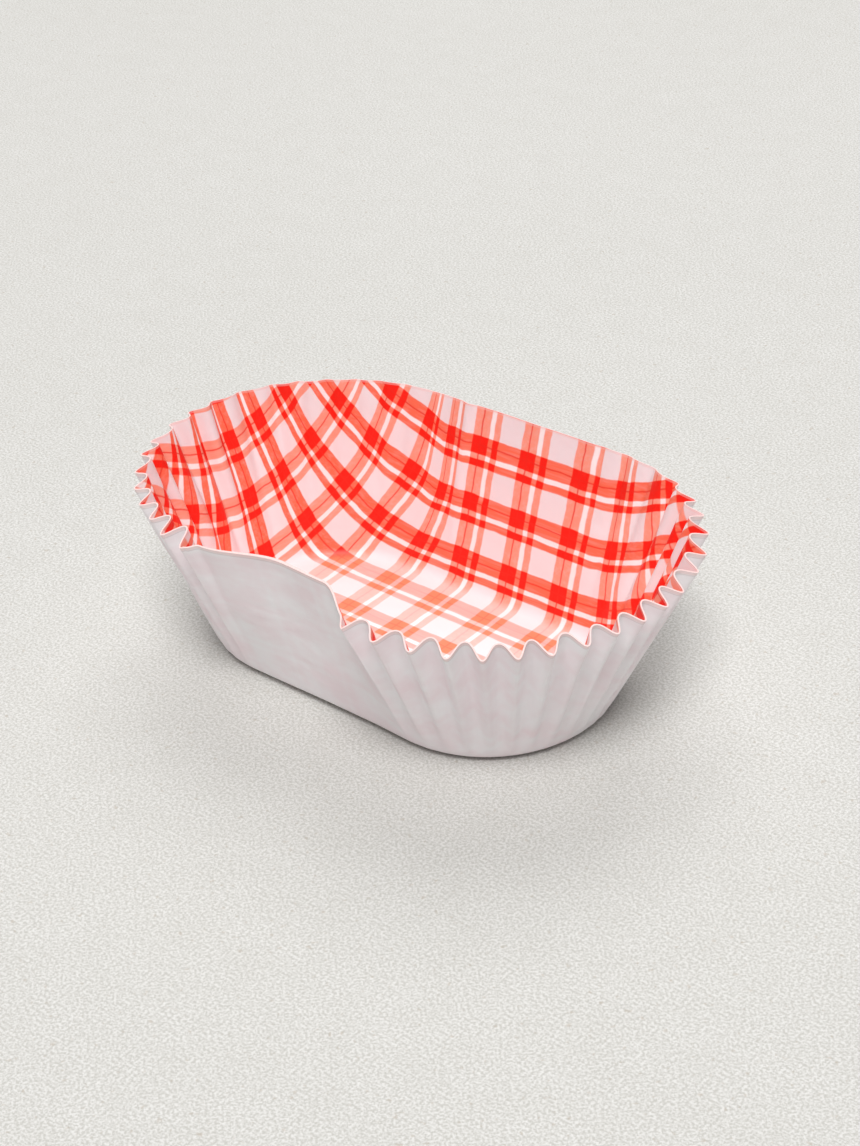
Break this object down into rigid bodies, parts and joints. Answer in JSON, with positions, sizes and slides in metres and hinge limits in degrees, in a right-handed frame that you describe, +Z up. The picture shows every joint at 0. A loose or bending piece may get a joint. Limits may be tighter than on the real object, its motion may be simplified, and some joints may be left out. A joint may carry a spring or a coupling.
{
  "type": "paper side dish cup",
  "caption": "Oval paper cup for side dishes, flat base, smooth long sides and pleated round ends, red check print inside.",
  "frame": {"origin": "on the table under the middle of the cup's overall length and width", "axes": "+X along the length towards the wider-spread end, +Y across the width towards the straighter long side, +Z up"},
  "size_m": [0.0926, 0.06, 0.0296],
  "materials": {
    "printed_paper": "white film-coated paper, red check printed on the inside, plain white outside"
  },
  "bodies": {
    "root": {"paper_cup": "printed_paper"}
  },
  "joints": []
}
